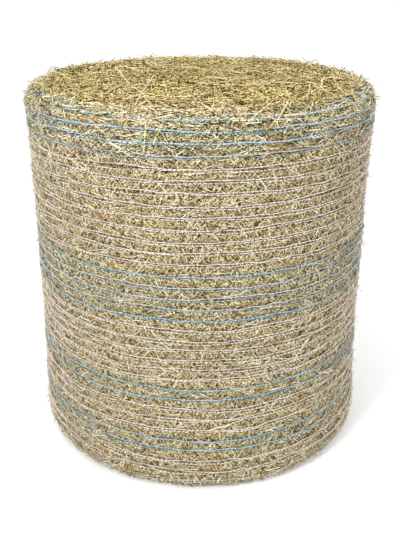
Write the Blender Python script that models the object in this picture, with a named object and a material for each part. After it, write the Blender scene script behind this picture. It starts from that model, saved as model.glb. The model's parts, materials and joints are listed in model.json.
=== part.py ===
"""Round hay bale standing on one flat end: the rolled hay and the threads of the net wrapped round it.

The hay is one rolled mass of loose stalks, so it is one solid. Each chain thread of the knitted net
is a closed ring of its own that lies on the roll, a small gap clear of it.
"""

import math

import bmesh
import bpy
from mathutils import Vector

# Driving dimensions of the roll, in metres. It stands on the floor at z = 0.
ROLL_HEIGHT = 1.22
ROLL_RADIUS = 0.575
RIM_ROUND = 0.055

# Shares of the radius: how much wider the foot is than the middle of a straight roll, and how far
# the net draws the roll in at half its height.
TAPER = 0.0098
WAIST = 0.0169

# A net thread is flat, because two or three turns of the net lie side by side.
THREAD_WIDTH = 0.006
THREAD_DEPTH = 0.0024
THREAD_GAP = 0.0003

# How finely the turned shapes are divided.
AROUND = 28
SIDE_ROWS = 9
RIM_STEPS = 4

# The net from the top down: the height of each blue marker thread, and the threads that lie evenly
# between it and the next height in the list.
NET_STRETCHES = (
    (1.174, ()),
    (1.139, ("pale_blue",) + ("white",) * 9),
    (0.754, ("pale_blue",) * 3),
    (0.6115, ("white",) * 6),
    (0.377, ()),
    (0.343, ("white",) * 3),
    (0.196, ()),
    (0.160, ("white",) * 2),
)
LOWEST_THREAD = 0.037

# The net is wider than the roll and folds over both rims: these are the places of its last threads
# on the rounded rims, as angles that are 0 on the side and 90 degrees on the end.
UPPER_RIM_THREADS = (math.radians(62), math.radians(38))
LOWER_RIM_THREAD = math.radians(45)

FINISHES = {
    "hay": ((0.50, 0.41, 0.22, 1.0), 0.95),
    "white": ((0.78, 0.72, 0.70, 1.0), 0.6),
    "blue": ((0.12, 0.38, 0.62, 1.0), 0.55),
    "pale_blue": ((0.42, 0.55, 0.62, 1.0), 0.6),
}

SHARP_ANGLE = math.radians(50)
MERGE_DISTANCE = 1e-6


def clear_scene():
    """Remove every object of the open scene."""
    for thing in list(bpy.data.objects):
        bpy.data.objects.remove(thing, do_unlink=True)


def make_finish(name):
    """Make the Principled material of one finish."""
    colour, roughness = FINISHES[name]
    material = bpy.data.materials.new(name)
    material.use_nodes = True
    shader = material.node_tree.nodes["Principled BSDF"]
    shader.inputs["Base Color"].default_value = colour
    shader.inputs["Roughness"].default_value = roughness
    shader.inputs["Metallic"].default_value = 0.0
    material.diffuse_color = colour
    return material


def side_radius(height):
    """Radius of the roll's side at a height, before the rims are rounded."""
    along = 2 * height / ROLL_HEIGHT - 1
    return ROLL_RADIUS * (1 - TAPER * along - WAIST * (1 - along * along))


def rim_point(angle, upper):
    """Point (radius, height) on a rounded rim, at an angle that is 0 on the side and 90 degrees on the end."""
    edge_height = ROLL_HEIGHT - RIM_ROUND if upper else RIM_ROUND
    centre = Vector((side_radius(edge_height) - RIM_ROUND, edge_height))
    lift = math.sin(angle) if upper else -math.sin(angle)
    return centre + RIM_ROUND * Vector((math.cos(angle), lift))


def roll_outline():
    """Half section of the roll as (radius, height) points, from the middle of its foot to its top's."""
    angles = [math.radians(90) * step / RIM_STEPS for step in range(RIM_STEPS + 1)]
    side_run = ROLL_HEIGHT - 2 * RIM_ROUND
    heights = [RIM_ROUND + side_run * row / SIDE_ROWS for row in range(1, SIDE_ROWS)]
    points = [Vector((0.0, 0.0))]
    points += [rim_point(angle, upper=False) for angle in reversed(angles)]
    points += [Vector((side_radius(height), height)) for height in heights]
    points += [rim_point(angle, upper=True) for angle in angles]
    points.append(Vector((0.0, ROLL_HEIGHT)))
    return points


def seat_at(height):
    """Where a thread lies on the roll's side or rim: the point of the outline and the way out of it."""
    outline = roll_outline()
    for low, high in zip(outline, outline[1:]):
        if low.y < high.y and low.y <= height <= high.y:
            point = low.lerp(high, (height - low.y) / (high.y - low.y))
            along = (high - low).normalized()
            return point, Vector((along.y, -along.x))
    raise ValueError(f"no seat at height {height}")


def turned_mesh(name, outline, closed):
    """Turn a half section about the z axis into one closed body."""
    work = bmesh.new()
    verts = [work.verts.new((point.x, 0.0, point.y)) for point in outline]
    edges = [work.edges.new(pair) for pair in zip(verts, verts[1:])]
    if closed:
        edges.append(work.edges.new((verts[-1], verts[0])))
    bmesh.ops.spin(
        work,
        geom=verts + edges,
        cent=(0, 0, 0),
        axis=(0, 0, 1),
        angle=math.tau,
        steps=AROUND,
        use_merge=False,
    )
    bmesh.ops.remove_doubles(work, verts=work.verts, dist=MERGE_DISTANCE)
    bmesh.ops.recalc_face_normals(work, faces=work.faces)
    mesh = bpy.data.meshes.new(name)
    work.to_mesh(mesh)
    work.free()
    mesh.shade_smooth()
    mesh.set_sharp_from_angle(angle=SHARP_ANGLE)
    return mesh


def add_piece(name, outline, closed, material):
    """Add one turned piece to the scene under its own name."""
    mesh = turned_mesh(name, outline, closed)
    mesh.materials.append(material)
    piece = bpy.data.objects.new(name, mesh)
    bpy.context.scene.collection.objects.link(piece)
    return piece


def thread_section(seat, outward):
    """Section of a net thread that lies flat on its seat, as four (radius, height) corners."""
    along = Vector((-outward.y, outward.x)) * THREAD_WIDTH / 2
    inner = seat + outward * THREAD_GAP
    outer = inner + outward * THREAD_DEPTH
    return [inner - along, outer - along, outer + along, inner + along]


def net_layout():
    """List the net's threads from the top down as (colour, seat, way out) of each."""
    threads = [("blue", *seat_at(rim_point(angle, upper=True).y)) for angle in UPPER_RIM_THREADS]
    lower_ends = [stretch[0] for stretch in NET_STRETCHES[1:]] + [LOWEST_THREAD]
    for (upper_end, between), lower_end in zip(NET_STRETCHES, lower_ends):
        threads.append(("blue", *seat_at(upper_end)))
        pitch = (upper_end - lower_end) / (len(between) + 1)
        for number, colour in enumerate(between, start=1):
            threads.append((colour, *seat_at(upper_end - number * pitch)))
    threads.append(("white", *seat_at(LOWEST_THREAD)))
    threads.append(("white", *seat_at(rim_point(LOWER_RIM_THREAD, upper=False).y)))
    return threads


def main():
    """Build the roll of hay and the net's threads."""
    clear_scene()
    finishes = {name: make_finish(name) for name in FINISHES}
    add_piece("hay_roll", roll_outline(), False, finishes["hay"])
    counts = dict.fromkeys(FINISHES, 0)
    for colour, seat, outward in net_layout():
        counts[colour] += 1
        name = f"{colour}_net_thread_{counts[colour]:02d}"
        add_piece(name, thread_section(seat, outward), True, finishes[colour])


main()
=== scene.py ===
"""Looks of a round hay bale that stands on its flat end: loose stalks of hay, held by knitted net.

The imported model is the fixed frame: a plain roll, and a plain ring for each chain thread of the net.
Here the roll gets its pressed hay and its loose stalks, and each ring gets the yarns of its thread.
Hay and yarns are first laid out flat, on the roll's skin as if it were unrolled, and Geometry Nodes
wrap them round it. A place on the unrolled skin is (x along the turn, y along the outline from the
middle of the foot to the middle of the top, z out of the skin), in metres.
"""

import json
import logging
import math
from dataclasses import dataclass, field
from enum import Enum
from typing import Iterable, Sequence

import bmesh
import bpy
import numpy as np
from mathutils import Matrix, Vector

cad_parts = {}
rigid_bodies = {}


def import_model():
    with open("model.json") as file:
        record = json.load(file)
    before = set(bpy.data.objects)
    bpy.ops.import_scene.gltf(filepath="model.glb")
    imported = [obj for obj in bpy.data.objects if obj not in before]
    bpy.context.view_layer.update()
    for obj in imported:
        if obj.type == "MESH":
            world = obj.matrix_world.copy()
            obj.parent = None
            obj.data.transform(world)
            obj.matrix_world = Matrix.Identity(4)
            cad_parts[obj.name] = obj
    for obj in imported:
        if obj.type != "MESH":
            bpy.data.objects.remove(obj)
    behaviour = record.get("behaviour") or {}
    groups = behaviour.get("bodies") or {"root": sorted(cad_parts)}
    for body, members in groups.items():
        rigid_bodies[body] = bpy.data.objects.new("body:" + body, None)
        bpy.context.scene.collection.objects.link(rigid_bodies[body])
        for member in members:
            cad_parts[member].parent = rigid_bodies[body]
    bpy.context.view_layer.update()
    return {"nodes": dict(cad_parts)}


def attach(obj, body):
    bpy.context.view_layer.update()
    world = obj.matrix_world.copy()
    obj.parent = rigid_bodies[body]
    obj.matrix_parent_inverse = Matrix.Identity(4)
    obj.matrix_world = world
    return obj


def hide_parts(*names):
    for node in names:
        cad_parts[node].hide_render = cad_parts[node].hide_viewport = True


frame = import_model()

Colour = tuple[float, float, float]
Tones = tuple[tuple[float, Colour], ...]
Settings = dict[str, object]
Inputs = dict[str | int, object]

LOG = logging.getLogger("hay_bale")


def srgb(red: int, green: int, blue: int) -> Colour:
    """Turn a colour as seen on a screen, in parts of 255, into the linear colour that shaders use.

    Args:
        red: The red part.
        green: The green part.
        blue: The blue part.

    Returns:
        The linear colour.
    """
    parts = (part / 255 for part in (red, green, blue))
    return tuple(p / 12.92 if p <= 0.04045 else ((p + 0.055) / 1.055) ** 2.4 for p in parts)


# Colour of painted shade in gaps between stalks and in the threads' grooves.
GAP_SHADE_COLOUR = srgb(66, 52, 34)
SIDE_RADIUS = 0.57


class Wire:
    """One output of a node. Sums and products of wires and numbers add the Math nodes for them."""

    def __init__(self, graph: "Graph", socket: bpy.types.NodeSocket) -> None:
        """Hold a socket and the tree that it is in."""
        self.graph = graph
        self.socket = socket

    def __add__(self, other: "Wire | float") -> "Wire":
        """Add."""
        return self.graph.math("ADD", self, other)

    def __radd__(self, other: float) -> "Wire":
        """Add to a number."""
        return self.graph.math("ADD", other, self)

    def __sub__(self, other: "Wire | float") -> "Wire":
        """Subtract."""
        return self.graph.math("SUBTRACT", self, other)

    def __rsub__(self, other: float) -> "Wire":
        """Subtract from a number."""
        return self.graph.math("SUBTRACT", other, self)

    def __mul__(self, other: "Wire | float") -> "Wire":
        """Multiply."""
        return self.graph.math("MULTIPLY", self, other)

    def __rmul__(self, other: float) -> "Wire":
        """Multiply a number."""
        return self.graph.math("MULTIPLY", other, self)

    def __truediv__(self, other: "Wire | float") -> "Wire":
        """Divide."""
        return self.graph.math("DIVIDE", self, other)

    def __pow__(self, other: float) -> "Wire":
        """Raise to a power."""
        return self.graph.math("POWER", self, other)


class Step:
    """A node that was added, whose outputs are taken by name or by number."""

    def __init__(self, graph: "Graph", node: bpy.types.Node) -> None:
        """Hold a node and the tree that it is in."""
        self.graph = graph
        self.node = node

    def __getitem__(self, key: str | int) -> Wire:
        """Give one output as a wire."""
        return Wire(self.graph, Graph.socket(self.node.outputs, key))


class Graph:
    """A node tree, of a material or of Geometry Nodes, that is written as Python expressions."""

    def __init__(self, tree: bpy.types.NodeTree) -> None:
        """Hold a tree, and the entry of its group where it has one."""
        self.tree = tree
        self.entry: Step | None = None

    @classmethod
    def geometry(cls, name: str, sockets: dict[str, str]) -> "Graph":
        """Start a Geometry Nodes tree.

        Args:
            name: The tree's name.
            sockets: The kind of each of its inputs, such as Float, by the input's name.

        Returns:
            The graph, with its group's sockets in place.
        """
        graph = cls(bpy.data.node_groups.new(name, "GeometryNodeTree"))
        add_socket = graph.tree.interface.new_socket
        for label, kind in sockets.items():
            add_socket(name=label, in_out="INPUT", socket_type=f"NodeSocket{kind}")
        add_socket(name="Geometry", in_out="OUTPUT", socket_type="NodeSocketGeometry")
        graph.entry = graph.add("NodeGroupInput")
        return graph

    @staticmethod
    def socket(sockets: Iterable[bpy.types.NodeSocket], key: str | int) -> bpy.types.NodeSocket:
        """Find a socket by its number, or the first one in use by its name."""
        if isinstance(key, int):
            return list(sockets)[key]
        return next(s for s in sockets if s.name == key and s.enabled)

    def feed(self, node: bpy.types.Node, inputs: Inputs) -> None:
        """Give a node's sockets their values or wires, by name or number."""
        for key, value in inputs.items():
            target = self.socket(node.inputs, key)
            if isinstance(value, Wire):
                self.tree.links.new(value.socket, target)
            else:
                target.default_value = value

    def add(self, kind: str, settings: Settings | None = None, inputs: Inputs | None = None) -> Step:
        """Add a node.

        Args:
            kind: The node's type.
            settings: Its own settings, which are set first.
            inputs: The values or wires of its sockets, by name or number.

        Returns:
            The node, whose outputs can be taken by name or number.
        """
        node = self.tree.nodes.new(kind)
        for name, value in (settings or {}).items():
            setattr(node, name, value)
        self.feed(node, inputs or {})
        return Step(self, node)

    def math(self, operation: str, *values: "Wire | float") -> Wire:
        """Add a Math node and give its result."""
        return self.add("ShaderNodeMath", {"operation": operation}, dict(enumerate(values)))[0]

    def split(self, vector: Wire) -> tuple[Wire, Wire, Wire]:
        """Give the three parts of a vector."""
        parts = self.add("ShaderNodeSeparateXYZ", inputs={0: vector})
        return parts["X"], parts["Y"], parts["Z"]

    def vector(self, x: "Wire | float", y: "Wire | float", z: "Wire | float") -> Wire:
        """Make a vector of three parts."""
        return self.add("ShaderNodeCombineXYZ", inputs={0: x, 1: y, 2: z})[0]

    def noise(self, place: Wire, scale: float, detail: float = 2.0) -> Wire:
        """Give a cloudy noise from 0 to 1 at a place."""
        return self.add("ShaderNodeTexNoise", inputs={"Vector": place, "Scale": scale, "Detail": detail})[0]

    def mix(
        self, share: "Wire | float", first: "Wire | Colour", second: "Wire | Colour", blend: str = "MIX"
    ) -> Wire:
        """Mix two colours.

        Args:
            share: How much of the second colour shows.
            first: The first colour.
            second: The second colour.
            blend: How the second colour goes on the first.

        Returns:
            The mixed colour.
        """
        whole = [(*c, 1.0) if isinstance(c, tuple) else c for c in (first, second)]
        inputs = {"Factor": share, "A": whole[0], "B": whole[1]}
        return self.add("ShaderNodeMix", {"data_type": "RGBA", "blend_type": blend}, inputs)["Result"]

    def between(self, value: Wire, low: float, high: float) -> Wire:
        """Give 0 where a value is under low, 1 where it is over high, and a smooth rise between."""
        settings = {"interpolation_type": "SMOOTHSTEP"}
        return self.add("ShaderNodeMapRange", settings, {"Value": value, 1: low, 2: high})[0]

    def chance(self, low: float, high: float, seed: int | Wire) -> Wire:
        """Give each point a random number between two."""
        inputs = {"Min": low, "Max": high, "Seed": seed}
        return self.add("FunctionNodeRandomValue", {"data_type": "FLOAT"}, inputs)["Value"]

    def store(self, geometry: Wire, name: str, value: Wire, domain: str = "POINT") -> Wire:
        """Store a number on each point or instance of the geometry, for the finishes to read."""
        settings = {"data_type": "FLOAT", "domain": domain}
        inputs = {"Geometry": geometry, "Name": name, "Value": value}
        return self.add("GeometryNodeStoreNamedAttribute", settings, inputs)[0]

    def moved(self, geometry: Wire, key: str, value: Wire) -> Wire:
        """Move each point to a Position or by an Offset."""
        return self.add("GeometryNodeSetPosition", inputs={"Geometry": geometry, key: value})[0]

    def finish(self, geometry: Wire) -> bpy.types.NodeTree:
        """Dress the geometry in the group's finish, send it out of the group and give the tree."""
        inputs = {"Geometry": geometry, "Material": self.entry["Finish"]}
        self.add("NodeGroupOutput", inputs={0: self.add("GeometryNodeSetMaterial", inputs=inputs)[0]})
        return self.tree


class Surface(Graph):
    """The nodes of a new material, which end in its shader."""

    def __init__(self, name: str) -> None:
        """Start a material."""
        self.material = bpy.data.materials.new(name)
        self.material.use_nodes = True
        super().__init__(self.material.node_tree)
        self.shader = self.tree.nodes["Principled BSDF"]

    @property
    def place(self) -> Wire:
        """The place on the object."""
        return self.add("ShaderNodeTexCoord")["Object"]

    def stored(self, name: str) -> Step:
        """Read what is stored on the mesh under a name."""
        return self.add("ShaderNodeAttribute", {"attribute_name": name})

    def ramp(self, shade: Wire, stops: Tones) -> Wire:
        """Turn a shade from 0 to 1 into a colour."""
        step = self.add("ShaderNodeValToRGB", inputs={0: shade})
        elements = step.node.color_ramp.elements
        while len(elements) < len(stops):
            elements.new(1.0)
        for element, (place, colour) in zip(elements, stops):
            element.position = place
            element.color = (*colour, 1.0)
        return step["Color"]

    def dress(self, look: Inputs, strength: float, distance: float, height: Wire) -> bpy.types.Material:
        """Send the look and a relief into the shader.

        Args:
            look: The values and wires of the shader's sockets.
            strength: How strong the relief is.
            distance: How deep it is, in metres.
            height: The relief.

        Returns:
            The material.
        """
        inputs = {"Strength": strength, "Distance": distance, "Height": height}
        self.feed(self.shader, {**look, "Normal": self.add("ShaderNodeBump", inputs=inputs)["Normal"]})
        return self.material


def run_nodes(tree: bpy.types.NodeTree, base: bpy.types.Mesh, inputs: dict[str, object]) -> bpy.types.Mesh:
    """Run a Geometry Nodes tree on a mesh and keep the result as a plain mesh.

    Args:
        tree: The tree to run.
        base: The mesh that goes into it.
        inputs: The values of the tree's named inputs.

    Returns:
        The plain mesh that came out.
    """
    carrier = bpy.data.objects.new("carrier", base)
    bpy.context.scene.collection.objects.link(carrier)
    modifier = carrier.modifiers.new("nodes", "NODES")
    modifier.node_group = tree
    for item in tree.interface.items_tree:
        if item.item_type == "SOCKET" and item.in_out == "INPUT" and item.name in inputs:
            modifier[item.identifier] = inputs[item.name]
    graph = bpy.context.evaluated_depsgraph_get()
    made = bpy.data.meshes.new_from_object(
        carrier.evaluated_get(graph), preserve_all_data_layers=True, depsgraph=graph
    )
    carrier.modifiers.remove(modifier)
    bpy.data.objects.remove(carrier)
    return made


def add_piece(name: str, mesh: bpy.types.Mesh) -> bpy.types.Object:
    """Add a finished mesh as a piece of the bale.

    Args:
        name: The piece's name.
        mesh: Its mesh, in the bale's own place.

    Returns:
        The piece, riding on the bale.
    """
    mesh.name = name
    mesh.shade_smooth()
    piece = bpy.data.objects.new(name, mesh)
    bpy.context.scene.collection.objects.link(piece)
    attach(piece, "root")
    mesh.calc_loop_triangles()
    LOG.info("%s: %d triangles", name, len(mesh.loop_triangles))
    return piece


def section_of(node: str) -> np.ndarray:
    """Give the corners (radius, height) of a turned node's section, where it crosses the x axis."""
    places = np.array([v.co for v in frame["nodes"][node].data.vertices])
    return np.unique(places[(np.abs(places[:, 1]) < 1e-4) & (places[:, 0] >= -1e-6)][:, ::2].round(6), axis=0)


class Face(Enum):
    """A face of the roll that hay is laid on."""

    SIDE = "side"
    TOP = "top"
    FOOT = "foot"


@dataclass(frozen=True)
class Seat:
    """Where a net thread lies: its node, and how far along the outline it is."""

    node: str
    along: float


@dataclass
class Roll:
    """The roll's outline, which bulges a little between the net's threads, and the way to wrap round it."""

    step: float = 0.003
    smoothing: float = 0.009
    bulge: float = 0.0036
    widest_bulge: float = 0.06
    thread_spacing: float = 0.035
    thread_bite: float = 0.0028
    lump_depth: float = 0.007
    lump_scale: float = 5.0
    tuft_depth: float = 0.004
    end_tuft_depth: float = 0.006
    tuft_scale: float = 24.0
    floor_clearance: float = 0.0004
    end_band: float = 0.02
    points: np.ndarray = field(init=False)
    lengths: np.ndarray = field(init=False)
    seats: list[Seat] = field(init=False)
    outline: bpy.types.Object = field(init=False)

    def __post_init__(self) -> None:
        """Read the outline and the threads' seats from the frame."""
        corners = section_of("hay_roll")
        height = corners[:, 1].max()
        rim = corners[corners[:, 0] > 0.01]
        order = np.argsort(np.arctan2(rim[:, 1] - height / 2, rim[:, 0]))
        base = self.rounded(np.vstack([(0, 0), rim[order], (0, height)]))
        lengths = self.lengths_along(base)
        seats = []
        for node in sorted(name for name in frame["nodes"] if name.endswith(tuple("0123456789"))):
            centre = section_of(node).mean(0)
            seats.append((lengths[np.argmin(np.linalg.norm(base - centre, axis=1))], node))
        seats.sort()
        self.points = self.bulged(base, lengths, np.array([along for along, _ in seats]))
        self.lengths = self.lengths_along(self.points)
        self.seats = [Seat(node, float(np.interp(along, lengths, self.lengths))) for along, node in seats]
        self.outline = self.as_object()

    def rounded(self, corners: np.ndarray) -> np.ndarray:
        """Lay points evenly along the faceted outline and round its corners a little."""
        lengths = self.lengths_along(corners)
        even = np.linspace(0, lengths[-1], round(lengths[-1] / self.step) + 1)
        line = np.stack([np.interp(even, lengths, corners[:, axis]) for axis in (0, 1)], 1)
        reach = round(3 * self.smoothing / self.step)
        weights = np.exp(-0.5 * (np.arange(-reach, reach + 1) * self.step / self.smoothing) ** 2)
        smooth = np.stack([np.convolve(line[:, axis], weights / weights.sum(), "same") for axis in (0, 1)], 1)
        smooth[:reach], smooth[-reach:] = line[:reach], line[-reach:]
        return smooth

    @staticmethod
    def lengths_along(points: np.ndarray) -> np.ndarray:
        """Give each point's distance along a line from its first point."""
        return np.concatenate([[0], np.cumsum(np.linalg.norm(np.diff(points, axis=0), axis=1))])

    @staticmethod
    def outward(points: np.ndarray) -> np.ndarray:
        """Give the way out of the outline at each of its points."""
        along = np.gradient(points, axis=0)
        along /= np.linalg.norm(along, axis=1)[:, None]
        return np.stack([along[:, 1], -along[:, 0]], 1)

    def bulged(self, base: np.ndarray, lengths: np.ndarray, seats: np.ndarray) -> np.ndarray:
        """Let the outline bulge between neighbouring threads and sink under each of them."""
        bulge = np.zeros(len(base))
        for low, high in zip(seats, seats[1:]):
            if high - low < self.widest_bulge:
                share = np.clip((lengths - low) / (high - low), 0, 1)
                room = min(1, (high - low) / self.thread_spacing)
                bulge += self.bulge * np.sin(math.pi * share) ** 0.8 * room
        inside = (lengths > seats[0]) & (lengths < seats[-1])
        bulge[inside] -= self.thread_bite
        return base + self.outward(base) * bulge[:, None]

    def as_object(self) -> bpy.types.Object:
        """Make the outline a line of edges in the xz plane, with each point's band between the threads.

        The band of a place counts the threads under it, with the share of the way to the next one.
        """
        mesh = bpy.data.meshes.new("outline")
        count = len(self.points)
        places = np.insert(self.points, 1, 0, axis=1)
        edges = np.stack([np.arange(count - 1), np.arange(1, count)], 1)
        mesh.from_pydata(places.tolist(), edges.tolist(), [])
        seats = [seat.along for seat in self.seats]
        ends = [seats[0] - self.end_band, *seats, seats[-1] + self.end_band]
        bands = np.interp(self.lengths, ends, [0.5, *range(1, len(seats) + 1), len(seats) + 0.5])
        mesh.attributes.new("band", "FLOAT", "POINT").data.foreach_set("value", bands)
        return bpy.data.objects.new("outline", mesh)

    @property
    def length(self) -> float:
        """Length of the whole outline."""
        return float(self.lengths[-1])

    @property
    def radius(self) -> float:
        """Radius of the roll at its middle, which turns a distance along the turn into an angle."""
        return float(np.interp(self.length / 2, self.lengths, self.points[:, 0]))

    @property
    def turn(self) -> float:
        """Length of one turn round the roll."""
        return math.tau * self.radius

    def wrap(self, graph: Graph, geometry: Wire, outline: Wire, face: Face = Face.SIDE) -> Wire:
        """Wrap geometry that was laid out flat round the roll.

        Args:
            graph: The Geometry Nodes tree.
            geometry: What is wrapped.
            outline: The outline's object.
            face: The face that it was laid out for. On an end, x and y are across it.

        Returns:
            The geometry on the roll, with each point's band between the threads.
        """
        line = graph.add("GeometryNodeObjectInfo", inputs={"Object": outline})["Geometry"]
        curve = graph.add("GeometryNodeMeshToCurve", inputs={0: line})[0]
        settings = {"data_type": "FLOAT"}
        band = graph.add("GeometryNodeInputNamedAttribute", settings, {"Name": "band"})["Attribute"]
        x, y, out = graph.split(graph.add("GeometryNodeInputPosition")[0])
        if face is Face.SIDE:
            angle, along = x / self.radius, y
        else:
            away = graph.math("SQRT", x * x + y * y)
            angle = graph.math("ARCTAN2", y if face is Face.TOP else y * -1.0, x)
            along = self.length - away if face is Face.TOP else away
        settings = {"mode": "LENGTH", "use_all_curves": False, "data_type": "FLOAT"}
        inputs = {"Curves": curve, "Value": band, "Length": along}
        place = graph.add("GeometryNodeSampleCurve", settings, inputs)
        radius, _, height = graph.split(place["Position"])
        inward, _, upward = graph.split(place["Tangent"])
        cosine, sine = graph.math("COSINE", angle), graph.math("SINE", angle)
        skin = graph.vector(radius * cosine, radius * sine, height)
        lumps = (graph.noise(skin, self.lump_scale) - 0.5) * (2 * self.lump_depth)
        flat = graph.math("MAXIMUM", inward * -1.0, 0.0)
        tuft_depth = flat * (2 * self.end_tuft_depth) + 2 * self.tuft_depth
        out = out + lumps + (graph.noise(skin, self.tuft_scale) - 0.5) * tuft_depth
        radius = radius + out * upward
        height = graph.math("MAXIMUM", height - out * inward, self.floor_clearance)
        marked = graph.store(geometry, "band", place["Value"])
        return graph.moved(marked, "Position", graph.vector(radius * cosine, radius * sine, height))


def groove_shade_dashes(graph: Surface, place: Wire) -> Wire:
    """Give 1 in the dashes of painted shade along a thread's groove, where the hay is pressed deepest, and 0
    elsewhere.
    """
    band = graph.stored("band")["Fac"]
    share = graph.math("FRACT", band)
    away = graph.math("MINIMUM", share, 1.0 - share)
    x, y, _ = graph.split(place)
    turned = graph.math("ARCTAN2", y, x) * SIDE_RADIUS
    whole = graph.math("ROUND", band)
    dash = graph.noise(graph.vector(turned * 115.0, whole * 3.7, 0.0), 1.0, 1.0)
    stretch = graph.between(graph.noise(place, 9.0, 2.0), 0.38, 0.52)
    return graph.between(away, 0.15, 0.05) * graph.between(dash, 0.49, 0.56) * (stretch * 0.5 + 0.5)


@dataclass(frozen=True)
class HayFinish:
    """Dry hay: each stalk has its own tone and fine streaks, and brown and green patches run through all.
    Painted shade darkens deeper stalks, spots between stalks, the ends' outer parts and the threads' grooves.
    """

    name: str
    stops: Tones
    brown: Colour = srgb(170, 122, 66)
    green: Colour = srgb(122, 130, 70)
    depth_shade_tint: Colour = srgb(246, 240, 210)
    # Colour of painted shade in the threads' grooves.
    gap: Colour = GAP_SHADE_COLOUR
    edge_shade: float = 0.0
    brown_from: float = 0.545
    cloudiness: float = 0.32
    streakiness: float = 0.40
    greenness: float = 1.0
    contrast: float = 0.98
    middle: float = 0.345
    crevice_shade_strength: float = 1.15
    crevice_shade_scale: float = 200.0
    streak_scale: float = 1500.0
    joints_per_metre: float = 17.0
    cloud_scale: float = 7.0
    brown_scale: float = 16.0
    green_scale: float = 3.2
    roughness: float = 0.60
    shine: float = 0.02

    def shade(self, graph: Surface, place: Wire, tone: Wire, raised: Wire, streak: Wire, along: Wire) -> Wire:
        """Work out how light the hay is, with painted shade on deeper stalks, in noisy spots as in hollows
        between stalks, and towards the ends' outer edge.

        Args:
            graph: The material's graph.
            place: The place on the bale.
            tone: The stalk's own tone.
            raised: How high the stalk lies among the others.
            streak: The fine streaks along it.
            along: The place along it.

        Returns:
            The shade, from 0 to 1.
        """
        turn = graph.math("FRACT", along * self.joints_per_metre + tone * 7.0)
        joint = 1.0 - graph.between(graph.math("ABSOLUTE", turn - 0.5), 0.02, 0.05)
        cloud = graph.noise(place, self.cloud_scale, 4.0)
        x, y, _ = graph.split(place)
        edge = graph.between(x * x + y * y, 0.05, 0.24) * self.edge_shade
        # Painted shade: noisy spots darken, as in hollows between stalks, less on stalks that lie higher.
        deep = graph.between(graph.noise(place, self.crevice_shade_scale, 1.0), 0.54, 0.60)
        crevice_shade = deep * ((1.0 - 0.55 * raised) * self.crevice_shade_strength)
        # Painted shade: stalks that lie higher are lighter, deeper ones darker.
        level = tone * self.contrast + raised * 0.32 + (self.middle - 0.5 * self.contrast)
        grain = (streak - 0.5) * self.streakiness + (cloud - 0.5) * self.cloudiness
        return level + grain - joint * 0.15 - crevice_shade - edge

    def material(self) -> bpy.types.Material:
        """Make the material."""
        graph = Surface(self.name)
        place = graph.place
        tone, raised = graph.stored("tone")["Fac"], graph.stored("height")["Fac"]
        along, across, over = graph.split(graph.stored("stalk")["Vector"])
        lengthwise = along * 45.0 + tone * 60.0
        streak = graph.noise(
            graph.vector(lengthwise, across * self.streak_scale, over * self.streak_scale), 1.0, 2.0
        )
        colour = graph.ramp(self.shade(graph, place, tone, raised, streak, along), self.stops)
        # Painted shade: deeper stalks are tinted darker.
        colour = graph.mix((1.0 - raised) * 0.7, colour, self.depth_shade_tint, "MULTIPLY")
        browned = graph.noise(place, self.brown_scale, 3.0)
        patch = graph.between(browned, self.brown_from, self.brown_from + 0.10)
        colour = graph.mix(patch * graph.between(tone, 0.85, 0.45) * 0.85, colour, self.brown)
        greener = graph.between(graph.noise(place, self.green_scale, 2.0), 0.48, 0.64)
        leafy = graph.between(graph.math("FRACT", tone * 13.0), 0.55, 0.75)
        colour = graph.mix((greener * 0.25 + 0.30) * self.greenness * leafy, colour, self.green)
        look = {
            # Painted shade: dashes along the threads' grooves darken to the gap colour.
            "Base Color": graph.mix(groove_shade_dashes(graph, place) * 0.75, colour, self.gap),
            "Roughness": streak * 0.25 + self.roughness,
            "Specular IOR Level": self.shine,
        }
        return graph.dress(look, 0.4, 0.0005, streak)


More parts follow.
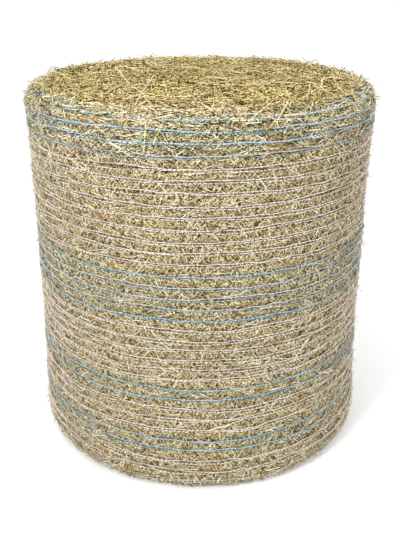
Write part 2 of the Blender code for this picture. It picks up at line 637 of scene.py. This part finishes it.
@dataclass(frozen=True)
class PressedFinish:
    """Pressed hay deep between the stalks: short pieces of stalk that cross one another over dark gaps."""

    name: str
    stops: Tones
    # Colour of painted shade in the gaps between pieces and in the hollows between stalks.
    gap: Colour = srgb(64, 52, 28)
    end_tint: Colour = srgb(196, 150, 70)
    headings: tuple[float, ...] = (35.0, -12.0, 68.0, -52.0)
    length: float = 0.024
    width: float = 0.0023
    cell: float = 0.76

    def pieces(self, graph: Surface, x: Wire, y: Wire) -> tuple[Wire, Wire]:
        """Lay pieces of stalk across one another on a flat place.

        Args:
            graph: The material's graph.
            x: Place along the turn.
            y: Place across it.

        Returns:
            The colour and the height.
        """
        # Painted shade: the gaps between the pieces start as the gap colour.
        colour, height = self.gap, 0.0
        for number, heading in enumerate(self.headings):
            cosine, sine = math.cos(math.radians(heading)), math.sin(math.radians(heading))
            along, across = x * cosine + y * sine, y * cosine - x * sine
            along, across = along * (self.cell / self.length), across * (self.cell / self.width)
            inputs = {"Vector": graph.vector(along, across, number * 9.0), "Scale": 1.0, "Randomness": 1.0}
            cells = graph.add("ShaderNodeTexVoronoi", {"voronoi_dimensions": "3D"}, inputs)
            stalk = graph.between(cells["Distance"], 0.46, 0.34)
            own = graph.ramp(graph.split(cells["Color"])[0], self.stops)
            colour = graph.mix(stalk, colour, own)
            height = stalk * (0.4 + 0.2 * number) + (1.0 - stalk) * height
        return colour, height

    def material(self) -> bpy.types.Material:
        """Make the material."""
        graph = Surface(self.name)
        place = graph.place
        x, y, z = graph.split(place)
        turned = graph.math("ARCTAN2", y, x) * SIDE_RADIUS
        facing = graph.split(graph.add("ShaderNodeNewGeometry")["Normal"])[2]
        end = graph.between(graph.math("ABSOLUTE", facing), 0.6, 0.8)
        side_colour, side_height = self.pieces(graph, turned, z)
        end_colour, end_height = self.pieces(graph, x, y)
        colour = graph.mix(end, side_colour, graph.mix(1.0, end_colour, self.end_tint, "MULTIPLY"))
        # Painted shade: noisy spots darken to the gap colour, as in hollows between stalks.
        crevice_shade = graph.between(graph.noise(place, 190.0, 1.0), 0.50, 0.58)
        colour = graph.mix(crevice_shade * 0.8, colour, self.gap)
        look = {
            # Painted shade: dashes along the threads' grooves darken to the gap colour.
            "Base Color": graph.mix(groove_shade_dashes(graph, place) * 0.9, colour, GAP_SHADE_COLOUR),
            "Roughness": 0.85,
            "Specular IOR Level": 0.0,
        }
        return graph.dress(look, 0.7, 0.002, side_height * (1.0 - end) + end_height * end)


@dataclass(frozen=True)
class YarnFinish:
    """Knitted polyethylene yarn: stitches along it, with painted shade in their hollows, most on the lower
    strand, and stretches where it is more or less bleached.
    """

    name: str
    upper: Colour
    lower: Colour
    faded: Colour
    shaded: Colour
    stitch: float = 0.014

    def material(self) -> bpy.types.Material:
        """Make the material."""
        graph = Surface(self.name)
        along, strand = graph.stored("along")["Fac"], graph.stored("strand")["Fac"]
        lane = strand * 3.0
        drift = graph.noise(graph.vector(along * 14.0, lane, 0.0), 1.0) * 12.0
        stitches = graph.math("SINE", along * (math.tau / self.stitch) + drift) * 0.5 + 0.5
        colour = graph.mix(strand, self.lower, self.upper)
        bleached = graph.noise(graph.vector(along * 9.0, lane, 5.0), 1.0, 3.0)
        colour = graph.mix(graph.between(bleached, 0.46, 0.62), colour, self.faded)
        shaded_stitch_stretches = graph.between(graph.noise(graph.vector(along * 40.0, lane, 9.0), 1.0), 0.36, 0.52)
        # Painted shade: in some stretches the stitches' hollows darken to the shaded colour, more on the
        # lower strand.
        dark = graph.between(stitches, 0.56, 0.74) * shaded_stitch_stretches * (0.85 - 0.35 * strand)
        look = {"Base Color": graph.mix(dark, colour, self.shaded), "Roughness": bleached * 0.2 + 0.42}
        return graph.dress(look, 0.5, 0.0005, stitches)


@dataclass(frozen=True)
class StalkKind:
    """One kind of stalk or blade, as a few shapes that are laid again and again."""

    name: str
    lengths: tuple[float, float]
    widths: tuple[float, float]
    flatness: float
    rings: tuple[float, ...]
    bow: float
    shapes: int = 10

    def collection(self, seed: int) -> bpy.types.Collection:
        """Make the shapes, in a collection that isn't part of the scene."""
        rng = np.random.default_rng(seed)
        made = bpy.data.collections.new(self.name)
        for number in range(self.shapes):
            mesh = self.shape(rng)
            made.objects.link(bpy.data.objects.new(f"{self.name}_{number:02d}", mesh))
        return made

    def shape(self, rng: np.random.Generator) -> bpy.types.Mesh:
        """Make one closed stalk along x: a point at each end and rings of three corners between them."""
        length, width = rng.uniform(*self.lengths), rng.uniform(*self.widths)
        bow, lean = rng.uniform(-1, 1, 2) * self.bow * length
        twist = rng.uniform(-1.5, 1.5)

        def centre(share: float) -> np.ndarray:
            """Middle of the stalk at a share of its length."""
            sideways = bow * (4 * share * (1 - share) - 0.67) + 0.4 * lean * math.sin(math.tau * share)
            return np.array([(share - 0.5) * length, sideways, 0.12 * lean * math.cos(3 * share)])

        places = [centre(0.0)]
        own = [(-length / 2, 0, 0)]
        for share in self.rings:
            for angle in (0.0, math.tau / 3, math.tau / 3 * 2):
                turned = angle + twist * share
                edge = (0, math.cos(turned) * width / 2, math.sin(turned) * width / 2 * self.flatness)
                places.append(centre(share) + edge)
                corner = (math.cos(angle) * width / 2, math.sin(angle) * width / 2)
                own.append(((share - 0.5) * length, *corner))
        places.append(centre(1.0))
        own.append((length / 2, 0, 0))
        faces = []
        last = 1 + 3 * (len(self.rings) - 1)
        for corner in range(3):
            after = (corner + 1) % 3
            faces.append((0, 1 + after, 1 + corner))
            for ring in range(len(self.rings) - 1):
                start = 1 + 3 * ring
                faces.append((start + corner, start + after, start + 3 + after, start + 3 + corner))
            faces.append((last + corner, last + after, len(places) - 1))
        mesh = bpy.data.meshes.new(self.name)
        mesh.from_pydata([tuple(place) for place in places], [], faces)
        stored = mesh.attributes.new("stalk", "FLOAT_VECTOR", "POINT")
        stored.data.foreach_set("vector", np.array(own).ravel())
        return mesh


LONG_STEM = StalkKind("long_stem", (0.070, 0.140), (0.0020, 0.0028), 0.9, (0.05, 0.5, 0.95), 0.09)
STEM = StalkKind("stem", (0.030, 0.064), (0.0015, 0.0021), 0.9, (0.10, 0.90), 0.0)
THICK_STEM = StalkKind("thick_stem", (0.035, 0.085), (0.0018, 0.0027), 0.9, (0.10, 0.90), 0.0)
BLADE = StalkKind("blade", (0.020, 0.042), (0.0016, 0.0025), 0.35, (0.25, 0.75), 0.16)
SLIVER = StalkKind("sliver", (0.014, 0.034), (0.0014, 0.0021), 0.6, (0.5,), 0.10)
LEAF = StalkKind("leaf", (0.022, 0.055), (0.0026, 0.0028), 0.35, (0.25, 0.75), 0.16)
SPLINTER = StalkKind("splinter", (0.018, 0.048), (0.0019, 0.0030), 0.7, (0.5,), 0.12)
WISP = StalkKind("wisp", (0.018, 0.048), (0.0013, 0.0019), 0.8, (0.15, 0.6), 0.16)


@dataclass
class StalkLayer:
    """One layer of stalks of one kind, laid on one face of the roll."""

    finish: str
    face: Face
    name: str
    kind: StalkKind
    count: int
    spread: float
    tilt: float
    depths: tuple[float, float]
    seed: int
    tones: tuple[float, float]
    reach: tuple[float, float]
    heading_power: float = 1.15
    sizes: tuple[float, float] = (0.75, 1.25)
    rim_corners: int = 48

    def field(self, roll: Roll) -> tuple[bpy.types.Mesh, float]:
        """Make the flat sheet that the stalks are strewn on.

        Args:
            roll: The roll.

        Returns:
            The sheet, and its area.
        """
        low, high = self.reach
        mesh = bpy.data.meshes.new("sheet")
        if self.face is Face.SIDE:
            corners = [(0, low, 0), (roll.turn, low, 0), (roll.turn, high, 0), (0, high, 0)]
            mesh.from_pydata(corners, [], [(0, 1, 2, 3)])
            return mesh, roll.turn * (high - low)
        turn = np.arange(self.rim_corners) * math.tau / self.rim_corners
        rim = np.stack([np.cos(turn) * high, np.sin(turn) * high, turn * 0], 1)
        last = self.rim_corners
        faces = [(0, k + 1, (k + 1) % last + 1) for k in range(last)]
        mesh.from_pydata([(0, 0, 0), *rim.tolist()], [], faces)
        return mesh, math.pi * high * high

    def tree(self, roll: Roll) -> bpy.types.NodeTree:
        """Make the Geometry Nodes tree that strews the stalks and wraps them round the roll."""
        numbers = dict.fromkeys(("Density", "Spread", "Tilt", "Lowest", "Highest"), "Float")
        parts = {"Sheet": "Geometry", "Outline": "Object", "Shapes": "Collection"}
        graph = Graph.geometry(self.name, {**parts, **numbers, "Seed": "Int", "Finish": "Material"})
        entry = graph.entry
        seed = entry["Seed"]
        settings = {"distribute_method": "RANDOM"}
        inputs = {"Mesh": entry["Sheet"], "Density": entry["Density"], "Seed": seed}
        strewn = graph.add("GeometryNodeDistributePointsOnFaces", settings, inputs)["Points"]
        share = graph.chance(-1.0, 1.0, seed + 1)
        bent = graph.math("ABSOLUTE", share) ** self.heading_power
        heading = graph.math("SIGN", share) * bent * entry["Spread"]
        if self.face is not Face.SIDE:
            x, y, _ = graph.split(graph.add("GeometryNodeInputPosition")[0])
            heading = heading + graph.math("ARCTAN2", y, x) + math.pi / 2
        rise = graph.chance(-1.0, 1.0, seed + 2)
        tilt = rise * graph.math("ABSOLUTE", rise) * entry["Tilt"]
        turn = graph.vector(graph.chance(0.0, math.tau, seed + 3) * 0.15, tilt, heading)
        height = graph.chance(0.0, 1.0, seed + 4)
        depth = height * (entry["Highest"] - entry["Lowest"]) + entry["Lowest"]
        size = graph.chance(*self.sizes, seed + 5)
        raised = graph.moved(strewn, "Offset", graph.vector(0.0, 0.0, depth))
        inputs = {"Collection": entry["Shapes"], "Separate Children": True, "Reset Children": True}
        inputs = {
            "Points": raised,
            "Instance": graph.add("GeometryNodeCollectionInfo", inputs=inputs)[0],
            "Pick Instance": True,
            "Rotation": graph.add("FunctionNodeEulerToRotation", inputs={0: turn})[0],
            "Scale": graph.vector(size, size, size),
        }
        laid = graph.add("GeometryNodeInstanceOnPoints", inputs=inputs)[0]
        toned = graph.store(laid, "tone", graph.chance(*self.tones, seed + 6), "INSTANCE")
        marked = graph.store(toned, "height", height, "INSTANCE")
        real = graph.add("GeometryNodeRealizeInstances", inputs={0: marked})[0]
        return graph.finish(roll.wrap(graph, real, entry["Outline"], self.face))

    def build(self, roll: Roll, finishes: dict[str, bpy.types.Material]) -> bpy.types.Object:
        """Lay the stalks.

        Args:
            roll: The roll that they lie on.
            finishes: The materials of the hay, by name.

        Returns:
            The piece.
        """
        sheet, area = self.field(roll)
        shapes = self.kind.collection(self.seed)
        inputs = {
            "Outline": roll.outline,
            "Shapes": shapes,
            "Density": self.count / area,
            "Spread": math.radians(self.spread),
            "Tilt": math.radians(self.tilt),
            "Lowest": self.depths[0],
            "Highest": self.depths[1],
            "Seed": self.seed,
            "Finish": finishes[self.finish],
        }
        mesh = run_nodes(self.tree(roll), sheet, inputs)
        for shape in list(shapes.objects):
            bpy.data.objects.remove(shape)
        bpy.data.collections.remove(shapes)
        return add_piece(self.name, mesh)


@dataclass(frozen=True)
class Straw:
    """One long stalk that stands out on the top: its two ends and its width."""

    low_end: tuple[float, float, float]
    high_end: tuple[float, float, float]
    width: float
    rings: tuple[float, ...] = (0.02, 0.2, 0.4, 0.6, 0.8, 0.97)

    def mesh(self, rng: np.random.Generator) -> bpy.types.Mesh:
        """Make the stalk in its place."""
        start, end = Vector(self.low_end), Vector(self.high_end)
        length = (end - start).length
        kind = StalkKind("straw", (length, length), (self.width, self.width), 0.8, self.rings, 0.008)
        mesh = kind.shape(rng)
        turn = (end - start).to_track_quat("X", "Z").to_matrix().to_4x4()
        mesh.transform(Matrix.Translation((start + end) / 2) @ turn)
        for name, value in (("tone", rng.uniform(0.75, 0.95)), ("height", 1.0), ("band", 0.5)):
            values = np.full(len(mesh.vertices), value)
            mesh.attributes.new(name, "FLOAT", "POINT").data.foreach_set("value", values)
        return mesh


@dataclass
class TopStraws:
    """The few long stalks that stand out on the top."""

    straws: tuple[Straw, ...] = (
        Straw((-0.206, -0.207, 1.230), (-0.290, 0.101, 1.246), 0.0032),
        Straw((-0.214, -0.195, 1.230), (-0.270, 0.040, 1.243), 0.0028),
        Straw((-0.175, -0.500, 1.229), (-0.146, -0.120, 1.252), 0.0032),
        Straw((-0.091, -0.359, 1.228), (-0.114, -0.158, 1.240), 0.0028),
        Straw((-0.283, -0.330, 1.228), (-0.233, -0.183, 1.238), 0.0027),
        Straw((-0.259, -0.171, 1.228), (-0.163, -0.220, 1.238), 0.0025),
        Straw((0.201, -0.545, 1.194), (0.236, -0.490, 1.240), 0.0023),
        Straw((0.201, -0.545, 1.194), (0.163, -0.490, 1.230), 0.0023),
        Straw((0.196, -0.545, 1.202), (0.240, -0.530, 1.200), 0.0023),
        Straw((0.300, -0.400, 1.226), (0.339, -0.171, 1.240), 0.0025),
        Straw((0.345, -0.300, 1.226), (0.400, -0.060, 1.240), 0.0025),
    )
    seed: int = 77

    def build(self, finish: bpy.types.Material) -> bpy.types.Object:
        """Make the stalks as one piece."""
        rng = np.random.default_rng(self.seed)
        joined = bmesh.new()
        for straw in self.straws:
            joined.from_mesh(straw.mesh(rng))
        mesh = bpy.data.meshes.new("top_straws")
        joined.to_mesh(mesh)
        joined.free()
        mesh.materials.append(finish)
        return add_piece("top_straws", mesh)


@dataclass
class PressedHay:
    """The pressed hay of the roll, deep between the stalks."""

    columns: int = 144
    rows_between_threads: int = 4
    end_step: float = 0.03
    depth: float = 0.006
    seam: float = 1e-5

    def rows(self, roll: Roll) -> np.ndarray:
        """Places of the sheet's rows along the outline: close between the threads, far on the ends."""
        seats = [seat.along for seat in roll.seats]
        rows = list(np.arange(0, seats[0], self.end_step))
        for low, high in zip(seats, seats[1:]):
            rows += list(np.linspace(low, high, self.rows_between_threads, endpoint=False))
        rows += list(roll.length - np.arange(0, roll.length - seats[-1], self.end_step)[::-1])
        return np.array(rows)

    def build(self, roll: Roll, finish: bpy.types.Material) -> bpy.types.Object:
        """Wrap a sheet of small faces round the roll and close it."""
        rows = self.rows(roll)
        turn = np.linspace(0, roll.turn, self.columns + 1)
        depth = np.full((len(rows), len(turn)), -self.depth)
        places = np.stack([*np.meshgrid(turn, rows), depth], -1).reshape(-1, 3)
        width = len(turn)
        first = (np.arange(len(rows) - 1)[:, None] * width + np.arange(width - 1)[None]).ravel()
        faces = np.stack([first, first + 1, first + width + 1, first + width], 1)
        sheet = bpy.data.meshes.new("sheet")
        sheet.from_pydata(places.tolist(), [], faces.tolist())
        sockets = {"Sheet": "Geometry", "Outline": "Object", "Seam": "Float", "Finish": "Material"}
        graph = Graph.geometry("pressed hay", sockets)
        placed = roll.wrap(graph, graph.entry["Sheet"], graph.entry["Outline"])
        inputs = {"Geometry": placed, "Distance": graph.entry["Seam"]}
        tree = graph.finish(graph.add("GeometryNodeMergeByDistance", inputs=inputs)[0])
        mesh = run_nodes(tree, sheet, {"Outline": roll.outline, "Seam": self.seam, "Finish": finish})
        piece = add_piece("pressed_hay", mesh)
        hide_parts("hay_roll")
        return piece


@dataclass(frozen=True)
class ThreadMake:
    """How a chain thread is made: how wide its strands are, how far apart, and how high they lie."""

    width: float
    gap: float
    lift: float


@dataclass(frozen=True)
class ZigzagMake:
    """How zigzag threads are made: how wide, how high at a chain thread, and how far they dip between."""

    width: float
    lift: float
    dip: float


@dataclass(frozen=True)
class Buried:
    """A stretch of a thread that is folded in under the hay, by its middle and half its width in degrees."""

    node: str
    middle: float
    half: float
    depth: float


@dataclass(frozen=True)
class Wander:
    """How far a thread wanders, in metres, and the fewest and the most waves of it in one turn."""

    size: float
    waves: tuple[int, int]
    terms: int = 6

    def line(self, rng: np.random.Generator, angles: np.ndarray) -> np.ndarray:
        """Give a smooth line that meets itself after one turn.

        Args:
            rng: The random source.
            angles: The angle of each point of the line.

        Returns:
            How far off the line is at each point.
        """
        parts = []
        for _ in range(self.terms):
            parts.append(np.sin(rng.integers(*self.waves) * angles + rng.uniform(0, math.tau)))
        return self.size * np.sum(parts, axis=0) / math.sqrt(self.terms / 2)


@dataclass
class Net:
    """The knitted net: chain threads round the roll, and zigzag threads that tie them together."""

    makes: dict[str, ThreadMake] = field(
        default_factory=lambda: {
            "white": ThreadMake(0.0035, 0.0092, 0.0025),
            "blue": ThreadMake(0.0040, 0.0048, 0.0031),
            "upper_blue": ThreadMake(0.0050, 0.0056, 0.0035),
            "pale_blue": ThreadMake(0.0034, 0.0084, 0.0026),
        }
    )
    buried: tuple[Buried, ...] = (
        Buried("blue_net_thread_01", -91.0, 33.0, 0.012),
        Buried("blue_net_thread_01", 108.0, 55.0, 0.008),
        Buried("blue_net_thread_02", 118.0, 45.0, 0.005),
        Buried("blue_net_thread_10", 0.0, 180.0, 0.0012),
        Buried("white_net_thread_20", -140.0, 30.0, 0.0020),
        Buried("white_net_thread_21", -150.0, 50.0, 0.003),
        Buried("white_net_thread_21", -30.0, 45.0, 0.003),
        Buried("white_net_thread_22", 0.0, 180.0, 0.010),
    )
    points: int = 170
    zigzags: dict[str, ZigzagMake] = field(
        default_factory=lambda: {
            "white": ZigzagMake(0.0011, 0.0026, 0.0014),
            "blue": ZigzagMake(0.0011, 0.0026, 0.0014),
            "rim": ZigzagMake(0.0017, 0.0036, 0.0004),
        }
    )
    corners: int = 3
    zigzag_step: float = 0.027
    rim_lift: float = 0.0026
    rim_from: float = 0.56
    upper_from: float = 0.72
    low_until: float = 1.10
    low_sink: float = 0.0013
    buried_ease: float = 12.0
    sway: Wander = Wander(0.0014, (2, 9))
    aside: Wander = Wander(0.0015, (3, 14))
    aside_ripple: Wander = Wander(0.0005, (15, 40))
    rise: Wander = Wander(0.0013, (2, 12))
    rise_ripple: Wander = Wander(0.0010, (20, 60))
    zigzag_along_spread: float = 0.0014
    zigzag_lift_spread: float = 0.0005
    zigzag_turn_spread: float = 0.0022
    seed: int = 11

    @staticmethod
    def loops(lines: Sequence[np.ndarray]) -> bpy.types.Mesh:
        """Make closed loops of edges from lines of places, with each point's strand, from 0 to 1."""
        mesh = bpy.data.meshes.new("lines")
        edges, strands, first = [], [], 0
        for number, line in enumerate(lines):
            ring = first + np.arange(len(line))
            edges += np.stack([ring, np.roll(ring, -1)], 1).tolist()
            strands += [number / max(1, len(lines) - 1)] * len(line)
            first += len(line)
        mesh.from_pydata(np.vstack(lines).tolist(), edges, [])
        mesh.attributes.new("strand", "FLOAT", "POINT").data.foreach_set("value", strands)
        return mesh

    def tree(self, roll: Roll) -> bpy.types.NodeTree:
        """Make the Geometry Nodes tree that wraps lines round the roll and gives them a yarn's width."""
        sockets = {"Lines": "Geometry", "Outline": "Object", "Width": "Float", "Corners": "Int"}
        graph = Graph.geometry("yarn", {**sockets, "Finish": "Material"})
        entry = graph.entry
        lines = graph.add("GeometryNodeMeshToCurve", inputs={0: entry["Lines"]})[0]
        placed = roll.wrap(graph, lines, entry["Outline"])
        measured = graph.store(placed, "along", graph.add("GeometryNodeSplineParameter")["Length"])
        inputs = {"Resolution": entry["Corners"], "Radius": entry["Width"] * 0.5}
        section = graph.add("GeometryNodeCurvePrimitiveCircle", inputs=inputs)[0]
        inputs = {"Curve": measured, "Profile Curve": section}
        tubes = graph.add("GeometryNodeCurveToMesh", inputs=inputs)[0]
        return graph.finish(graph.add("GeometryNodeRealizeInstances", inputs={0: tubes})[0])

    def chain_lines(
        self, rng: np.random.Generator, roll: Roll, seat: Seat, make: ThreadMake
    ) -> list[np.ndarray]:
        """Lay out the two strands of one chain thread, flat."""
        angles = np.linspace(0, math.tau, self.points, endpoint=False)
        sway = self.sway.line(rng, angles)
        on_rim = seat.along > roll.length - self.rim_from
        lift = np.full(self.points, self.rim_lift if on_rim else make.lift)
        if seat.along < self.low_until:
            lift -= self.low_sink
        for stretch in self.buried:
            if stretch.node == seat.node:
                away = np.abs((np.degrees(angles) - stretch.middle + 180) % 360 - 180)
                share = (stretch.half + self.buried_ease / 2 - away) / self.buried_ease
                lift -= stretch.depth * np.clip(share, 0, 1)
        lines = []
        for side in (-0.5, 0.5):
            aside = side * make.gap + self.aside.line(rng, angles)
            along = seat.along + aside + sway + self.aside_ripple.line(rng, angles)
            own_lift = lift + self.rise.line(rng, angles) + self.rise_ripple.line(rng, angles)
            lines.append(np.stack([angles * roll.radius, along, own_lift], 1))
        return lines

    def zigzag_line(
        self, rng: np.random.Generator, roll: Roll, low: float, high: float, make: ZigzagMake
    ) -> np.ndarray:
        """Lay out one zigzag thread between two neighbouring chain threads, flat."""
        legs = 2 * round(roll.turn / self.zigzag_step / 2)
        places = np.arange(2 * legs) * (roll.turn / legs / 2)
        between = np.tile([0.0, 0.5, 1.0, 0.5], legs // 2)
        count = len(places)
        along = low + (high - low) * between + rng.normal(0, self.zigzag_along_spread, count)
        dip = make.dip * 4 * between * (1 - between)
        lift = make.lift - dip + rng.normal(0, self.zigzag_lift_spread, count)
        return np.stack([places + rng.normal(0, self.zigzag_turn_spread, count), along, lift], 1)

    def zigzag_kind(self, roll: Roll, lower: Seat, upper: Seat) -> str:
        """Name the make of the zigzag thread between two neighbouring chain threads."""
        both = (lower.node, upper.node)
        if all("blue" in node for node in both):
            if lower.along > roll.length - self.upper_from:
                return "rim"
            if any("pale" in node for node in both):
                return "blue"
        return "white"

    def build(self, roll: Roll, finishes: dict[str, bpy.types.Material]) -> None:
        """Make the yarns of every chain thread, and the zigzag threads."""
        rng = np.random.default_rng(self.seed)
        tree = self.tree(roll)

        def spin(name: str, lines: list[np.ndarray], width: float, kind: str) -> bpy.types.Object:
            """Turn flat lines into a piece of yarn."""
            inputs = {"Outline": roll.outline, "Corners": self.corners}
            inputs |= {"Width": width, "Finish": finishes[kind]}
            return add_piece(name, run_nodes(tree, self.loops(lines), inputs))

        for seat in roll.seats:
            colour = seat.node.split("_net_thread")[0]
            upper = colour == "blue" and seat.along > roll.length - self.upper_from
            kind = "upper_blue" if upper else colour
            make = self.makes[kind]
            lines = self.chain_lines(rng, roll, seat, make)
            piece = spin(f"{seat.node}_yarns", lines, make.width, kind)
            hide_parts(seat.node)
        lines = {kind: [] for kind in self.zigzags}
        for lower, upper in zip(roll.seats, roll.seats[1:]):
            kind = self.zigzag_kind(roll, lower, upper)
            lines[kind].append(self.zigzag_line(rng, roll, lower.along, upper.along, self.zigzags[kind]))
        for kind, make in self.zigzags.items():
            slot = "white" if kind == "white" else "pale_blue"
            spin(f"{kind}_zigzag_threads", lines[kind], make.width, slot)


SIDE_TONES = (
    (0.00, srgb(38, 26, 2)),
    (0.18, srgb(124, 107, 62)),
    (0.38, srgb(229, 217, 186)),
    (0.66, srgb(233, 223, 197)),
    (1.00, srgb(236, 228, 208)),
)
END_TONES = (
    (0.00, srgb(22, 8, 0)),
    (0.20, srgb(98, 71, 8)),
    (0.40, srgb(220, 199, 126)),
    (0.68, srgb(235, 219, 164)),
    (1.00, srgb(240, 228, 190)),
)
RIM_TONES = (
    (0.00, srgb(42, 30, 10)),
    (0.20, srgb(112, 94, 54)),
    (0.40, srgb(206, 191, 154)),
    (0.68, srgb(229, 218, 188)),
    (1.00, srgb(237, 229, 208)),
)
DEEP_TONES = (
    (0.00, srgb(102, 88, 52)),
    (0.35, srgb(160, 144, 96)),
    (0.70, srgb(206, 192, 144)),
    (1.00, srgb(236, 226, 184)),
)


@dataclass
class Hay:
    """All the hay of the bale: the pressed hay and the layers of stalks on it."""

    side_from: float = 0.51
    side_until: float = 0.50
    hem: tuple[float, float] = (0.545, 0.625)
    rim: tuple[float, float] = (0.575, 0.50)
    shoulder: tuple[float, float] = (0.66, 0.575)
    crest: tuple[float, float] = (0.60, 0.48)
    top: tuple[float, float] = (0.0, 0.575)
    foot: tuple[float, float] = (0.0, 0.56)

    def layers(self, roll: Roll) -> list[StalkLayer]:
        """List the layers of stalks, by the finish and the face that they share."""
        upper = (self.rim, self.shoulder, self.crest)
        rim, shoulder, crest = (tuple(roll.length - reach for reach in pair) for pair in upper)
        side = (self.side_from, roll.length - self.side_until)
        groups = {
            ("side", Face.SIDE): (
                ("side_blades", BLADE, 8600, 90, 10, (-0.005, 0.001), 101, (0, 0.9), side),
                ("side_stems", STEM, 9500, 80, 5, (-0.003, 0.0030), 303, (0.2, 1), side),
                ("side_long_stems", LONG_STEM, 1000, 50, 2, (-0.003, 0.001), 404, (0.3, 0.9), side),
                ("side_slivers_a", SLIVER, 16500, 90, 16, (-0.004, 0.001), 505, (0, 0.9), side),
                ("side_slivers_b", SLIVER, 18000, 90, 42, (-0.003, 0.0025), 515, (0, 0.95), side),
                ("side_wisps", WISP, 5200, 90, 75, (-0.001, 0.0070), 606, (0.4, 1), side),
                ("foot_blades", BLADE, 1700, 90, 45, (0.0, 0.0055), 626, (0.1, 0.8), self.hem),
            ),
            ("rim", Face.SIDE): (
                ("rim_stems", LONG_STEM, 1200, 14, 4, (-0.002, 0.004), 656, (0.2, 0.95), rim),
                ("shoulder_stems", STEM, 2400, 50, 6, (-0.001, 0.004), 646, (0.15, 0.9), shoulder),
                ("rim_wisps", WISP, 1600, 90, 85, (0.0, 0.008), 666, (0.1, 0.9), crest),
            ),
            ("end", Face.TOP): (
                ("top_leaves", LEAF, 3000, 90, 30, (-0.012, 0.002), 707, (0, 1), self.top),
                ("top_stems", THICK_STEM, 7000, 90, 30, (-0.011, 0.006), 808, (0, 1), self.top),
                ("top_long_stems", LONG_STEM, 1500, 90, 19, (-0.002, 0.009), 858, (0.3, 1), self.top),
                ("top_splinters", SPLINTER, 5500, 90, 48, (-0.010, 0.004), 909, (0, 0.95), self.top),
                ("top_wisps", WISP, 1500, 90, 75, (0.0, 0.010), 919, (0.1, 1), self.top),
            ),
            ("end", Face.FOOT): (
                ("foot_slivers", SLIVER, 3000, 90, 5, (-0.005, 0.0), 111, (0, 1), self.foot),
            ),
        }
        return [StalkLayer(*group, *row) for group, rows in groups.items() for row in rows]

    def build(self, roll: Roll) -> None:
        """Make the pressed hay and lay every layer of stalks."""
        finishes = {
            "side": HayFinish("side_hay", SIDE_TONES).material(),
            "rim": HayFinish("rim_hay", RIM_TONES, brown_from=0.58, contrast=1.2).material(),
            "end": HayFinish(
                "end_hay",
                END_TONES,
                # Painted shade: the tint of deeper stalks on the ends.
                depth_shade_tint=srgb(234, 208, 104),
                # Painted shade in the threads' grooves on the ends.
                gap=srgb(46, 24, 0),
                edge_shade=0.045,
                brown_from=0.61,
                greenness=0.4,
                cloudiness=0.36,
                contrast=1.45,
                crevice_shade_strength=1.85,
            ).material(),
        }
        PressedHay().build(roll, PressedFinish("deep_hay", DEEP_TONES).material())
        for layer in self.layers(roll):
            layer.build(roll, finishes)
        TopStraws().build(finishes["end"])


@dataclass(frozen=True)
class Studio:
    """The camera at the photo's place, a white floor and soft light."""

    camera_place: tuple[float, float, float] = (0.0, -2.464, 1.607)
    camera_pitch: float = 23.29
    lens: float = 49.43
    floor_size: float = 60.0
    floor_grey: float = 0.77
    sky: float = 1.31
    lit_place: tuple[float, float, float] = (0.0, 0.0, 0.6)

    def build(self) -> None:
        """Set up the camera, the floor and the lights."""
        data = bpy.data.cameras.new("camera")
        data.lens = self.lens
        camera = self.add("camera", data)
        camera.location = self.camera_place
        camera.rotation_euler = (math.radians(90 - self.camera_pitch), 0, 0)
        bpy.context.scene.camera = camera
        self.floor()
        self.lights()
        bpy.context.scene.view_settings.view_transform = "Standard"

    @staticmethod
    def add(name: str, data: bpy.types.ID) -> bpy.types.Object:
        """Put a camera, a light or a mesh in the scene."""
        made = bpy.data.objects.new(name, data)
        bpy.context.scene.collection.objects.link(made)
        return made

    def floor(self) -> None:
        """Lay the floor."""
        half = self.floor_size / 2
        mesh = bpy.data.meshes.new("floor")
        corners = [(-half, -half, 0), (half, -half, 0), (half, half, 0), (-half, half, 0)]
        mesh.from_pydata(corners, [], [(0, 1, 2, 3)])
        surface = Surface("floor")
        surface.feed(surface.shader, {"Base Color": (*[self.floor_grey] * 3, 1), "Roughness": 0.9})
        mesh.materials.append(surface.material)
        floor = self.add("floor", mesh)

    def lights(self) -> None:
        """Hang a large soft light in front on the left, and light everything from a white sky."""
        world = bpy.data.worlds.new("sky")
        world.use_nodes = True
        sky = Graph(world.node_tree)
        sky.feed(world.node_tree.nodes["Background"], {"Color": (1, 1, 1, 1), "Strength": self.sky})
        bpy.context.scene.world = world
        self.panel("key", (-2.3, -3.5, 3.1), 1.0, 196)
        self.panel("fill", (3.0, -2.6, 2.0), 1.6, 70)

    def panel(self, name: str, place: tuple[float, float, float], size: float, power: float) -> None:
        """Hang a square light panel that faces the bale."""
        data = bpy.data.lights.new(name, "AREA")
        data.size = size
        data.energy = power
        light = self.add(name, data)
        light.location = place
        aim = Vector(self.lit_place) - Vector(place)
        light.rotation_euler = aim.to_track_quat("-Z", "Y").to_euler()


def main() -> None:
    """Build the bale and the studio."""
    logging.basicConfig(level=logging.INFO, format="%(name)s %(message)s")
    Studio().build()
    roll = Roll()
    LOG.info("outline %.3f m, turn %.3f m", roll.length, roll.turn)
    Hay().build(roll)
    yarns = {
        "white": ((216, 205, 200), (210, 199, 193), (192, 180, 168), (98, 84, 72)),
        "blue": ((138, 166, 178), (80, 122, 140), (174, 187, 192), (32, 58, 64)),
        "upper_blue": ((154, 176, 184), (96, 132, 144), (188, 196, 198), (36, 66, 70)),
        "pale_blue": ((196, 196, 198), (118, 146, 156), (166, 176, 180), (62, 74, 78)),
    }
    finishes = {
        kind: YarnFinish(f"{kind}_yarn", *(srgb(*colour) for colour in colours)).material()
        for kind, colours in yarns.items()
    }
    Net().build(roll, finishes)


if __name__ == "__main__":
    main()
